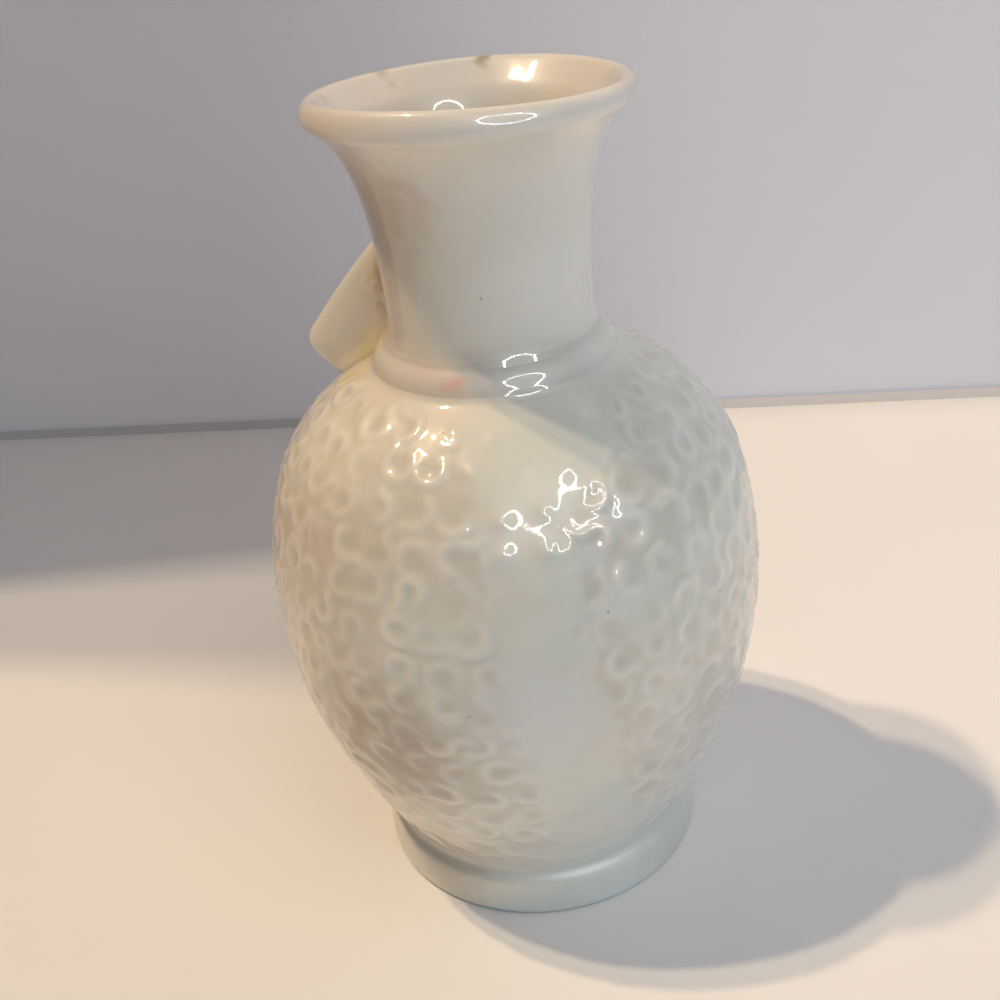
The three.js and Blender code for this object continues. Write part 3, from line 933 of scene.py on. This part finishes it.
def lug_piece():
    edge = evened(lug_outline(), outline_step)
    bed = moved_right(outline.points[at_foot_top:at_lip], -lug_bed)
    gap = np.linalg.norm(edge[:, None, :] - bed[None, ::lug_bed_stride, :], axis=2).min(1)
    crossing = np.nonzero(gap < lug_crossing)[0]
    middle = len(edge) // 2
    first = crossing[crossing < middle].max()
    last = crossing[crossing > middle].min()
    edge = evened(edge[first:last + 1], outline_step)
    top, bottom = (int(np.argmin(np.linalg.norm(bed - end, axis=1))) for end in (edge[0], edge[-1]))
    root = bed[bottom:top + 1][::-1]
    shares = np.linspace(0, 1, lug_stations)
    lengths = np.linspace(0, 1, len(edge)), np.linspace(0, 1, len(root))
    outer = np.stack([np.interp(shares, lengths[0], edge[:, k]) for k in (0, 1)], 1)
    inner = np.stack([np.interp(shares, lengths[1], root[:, k]) for k in (0, 1)], 1)
    reach = np.sin(np.linspace(0, math.pi / 2, lug_steps))
    flat = inner[:, None, :] + (outer - inner)[:, None, :] * reach[None, :, None]
    surface = outline.points[at_foot_top:at_lip]
    to_edge = np.array([[np.linalg.norm(edge - p, axis=1).min() for p in row] for row in flat])
    to_root = np.array([[np.linalg.norm(surface - p, axis=1).min() for p in row] for row in flat])
    inside = np.clip(1 - to_edge / lug_edge_depth, 0, 1)
    half = lug_half_thickness * np.sqrt(1 - inside ** lug_edge_power)
    on_shoulder = smooth(-flat[:, :, 1], -lug_flare_levels[1], -lug_flare_levels[0])
    at_root = 1 - smooth(to_root, 0.0, lug_root_reach)
    half += lug_root_flare * at_root * smooth(to_edge, 0.0, lug_flare_start) * on_shoulder
    front = np.stack([-flat[:, :, 0], -half, flat[:, :, 1]], 2)
    back = front * np.array([1.0, -1.0, 1.0])
    loop = np.concatenate([front, back[:, -2::-1]], 1)
    stations, around = loop.shape[:2]
    points = loop.reshape(-1, 3)
    # A painted highlight along the lug's edge, carried by the ridge mark
    edge_highlight = lug_edge_highlight_strength * np.exp(-(to_edge / lug_edge_highlight_width) ** 2)
    values = {"ridge": np.concatenate([edge_highlight, edge_highlight[:, -2::-1]], 1).reshape(-1)}
    faces = []
    for s in range(stations - 1):
        for a in range(around):
            b = (a + 1) % around
            faces.append([s * around + a, s * around + b, (s + 1) * around + b, (s + 1) * around + a])
    faces.append(list(range(around))[::-1])
    faces.append([(stations - 1) * around + a for a in range(around)])
    new_piece("lug_glazed", settled(points), faces, "lug_glaze", "shoulder_lug", values)


lug_piece()


# Studio: a pale table, a plain wall behind it, and the lights

def stage_sheet(name, corners, material):
    mesh = bpy.data.meshes.new(name)
    mesh.from_pydata([tuple(v * MM for v in corner) for corner in corners], [], [(0, 1, 2, 3)])
    mesh.materials.append(material)
    sheet = bpy.data.objects.new(name, mesh)
    bpy.context.scene.collection.objects.link(sheet)
    return sheet


def upright_sheet(name, ends, height, material):
    up = np.array([0.0, 0.0, height])
    return stage_sheet(name, [ends[0], ends[1], ends[1] + up, ends[0] + up], material)


table_reach = 1500.0
table_look = plain_surface("table", (0.838, 0.829, 0.85))
stage_sheet("table", [(-table_reach, -table_reach, 0), (table_reach, -table_reach, 0),
                      (table_reach, table_reach, 0), (-table_reach, table_reach, 0)], table_look)

# The wall shows only from its front, so that a view from behind sees the vase past it
wall_distance = 168.8
wall_turn = 13.46
wall_height = 700.0
wall_painted_glow = 0.21
# The wall's painted light: darker on the left, lighter on the right, and a faint glow of its own
wall_look = plain_surface("wall", (0.50, 0.49, 0.53), (0.68, 0.67, 0.71), wall_painted_glow, back_clear=True)
wall_along = np.array([math.cos(math.radians(wall_turn)), math.sin(math.radians(wall_turn)), 0.0])
wall_foot = wall_distance * np.array([-wall_along[1], wall_along[0], 0.0])
wall_ends = [wall_foot - table_reach * wall_along, wall_foot + table_reach * wall_along]
upright_sheet("wall", wall_ends, wall_height, wall_look)

# A narrow dark sill along the foot of the wall, one millimetre before it: a painted shade line where the
# wall meets the table, darkest on the left, with the wall's painted glow
sill_height = 3.0
sill_shade_look = plain_surface("sill", (0.345, 0.335, 0.35), (0.66, 0.61, 0.58), wall_painted_glow)
upright_sheet("sill", [end - wall_foot / wall_distance for end in wall_ends], sill_height, sill_shade_look)

# A tall dark board off to the left, whose shadow falls over the back of the table and the wall. Only its
# shadow and its reflection are wanted, so no camera sees it
board_ends = [np.array([-311.0, -12.0, 0.0]), np.array([-311.0, 500.0, 0.0])]
board_height = 700.0
board = upright_sheet("board", board_ends, board_height, plain_surface("board", (0.40, 0.34, 0.28)))
board.visible_camera = False


# Lamps are placed from the middle of the vase and aimed at it
middle_level = 60.0


def from_vase(bearing, elevation, distance):
    """A place in metres seen from the vase under a bearing and an elevation."""
    flat = direction(bearing) * math.cos(math.radians(elevation))
    up = math.sin(math.radians(elevation))
    return Vector((flat[0] * distance, flat[1] * distance, up * distance + middle_level)) * MM


def aim(thing):
    way = Vector((0.0, 0.0, middle_level * MM)) - thing.location
    thing.rotation_euler = way.to_track_quat("-Z", "Y").to_euler()


def soft_light(name, bearing, elevation, distance, width, power, colour, mirrored=True):
    """A square lamp. One that isn't mirrored lights the vase but doesn't show in the glaze."""
    lamp = bpy.data.lights.new(name, "AREA")
    lamp.shape = "RECTANGLE"
    lamp.size = width * MM
    lamp.size_y = width * MM
    lamp.energy = power
    lamp.color = colour
    holder = bpy.data.objects.new(name, lamp)
    holder.location = from_vase(bearing, elevation, distance)
    aim(holder)
    holder.visible_glossy = mirrored
    bpy.context.scene.collection.objects.link(holder)


# Bearing, elevation, distance, width, power and colour of each lamp
soft_light("key", -73.0, 66.0, 4000.0, 100.0, 50.0, (1.0, 0.766, 0.49))
soft_light("second_key", -82.5, 66.0, 4000.0, 100.0, 50.0, (1.0, 0.73, 0.43))
soft_light("upper_fill", 50.0, 55.0, 700.0, 400.0, 1.25, (1.0, 0.77, 0.56), mirrored=False)
soft_light("front_fill", 50.0, 20.0, 700.0, 400.0, 0.76, (0.10, 0.60, 1.0), mirrored=False)
soft_light("side_fill", 100.0, 30.0, 700.0, 400.0, 0.49, (0.61, 0.83, 1.0), mirrored=False)


def ring_lamp(bearing, elevation, distance, radius, tube, brightness):
    """A thin glowing ring that only shows as highlights in the glaze."""
    bpy.ops.mesh.primitive_torus_add(major_radius=radius * MM, minor_radius=tube * MM,
                                     major_segments=96, minor_segments=12)
    ring = bpy.context.object
    ring.name = "ring_lamp"
    ring.location = from_vase(bearing, elevation, distance)
    aim(ring)
    glow = Glaze("ring_lamp")
    light = glow.node("ShaderNodeEmission", {"Color": (1.0, 0.98, 0.95, 1.0), "Strength": brightness})
    glow.link(light.outputs[0], glow.out.inputs["Surface"])
    ring.data.materials.append(glow.material)
    ring.visible_camera = False
    ring.visible_diffuse = False
    ring.visible_shadow = False


ring_lamp(48.0, 36.0, 400.0, radius=115.0, tube=6.0, brightness=30.0)

world = bpy.data.worlds.new("room")
world.use_nodes = True
world.node_tree.nodes["Background"].inputs["Color"].default_value = (0.95, 0.97, 1.0, 1.0)
world.node_tree.nodes["Background"].inputs["Strength"].default_value = 0.08
bpy.context.scene.world = world
bpy.context.scene.view_settings.view_transform = "Standard"


# Camera: a phone held close and above, found from the vase's outline in the photograph

camera_place = Vector((68.41, -169.33, 164.0)) * MM
camera_right = Vector((0.93826, 0.33194, -0.09738))
camera_up = Vector((-0.07983, 0.48166, 0.87271))
camera_ahead = Vector((-0.33659, 0.81106, -0.47842))

lens = bpy.data.cameras.new("camera")
lens.sensor_width = 36.0
lens.lens = 46.08
lens.clip_start = 0.01
camera = bpy.data.objects.new("camera", lens)
bpy.context.scene.collection.objects.link(camera)
turn = Matrix((camera_right, camera_up, -camera_ahead)).transposed()
camera.matrix_world = Matrix.Translation(camera_place) @ turn.to_4x4()
bpy.context.scene.camera = camera
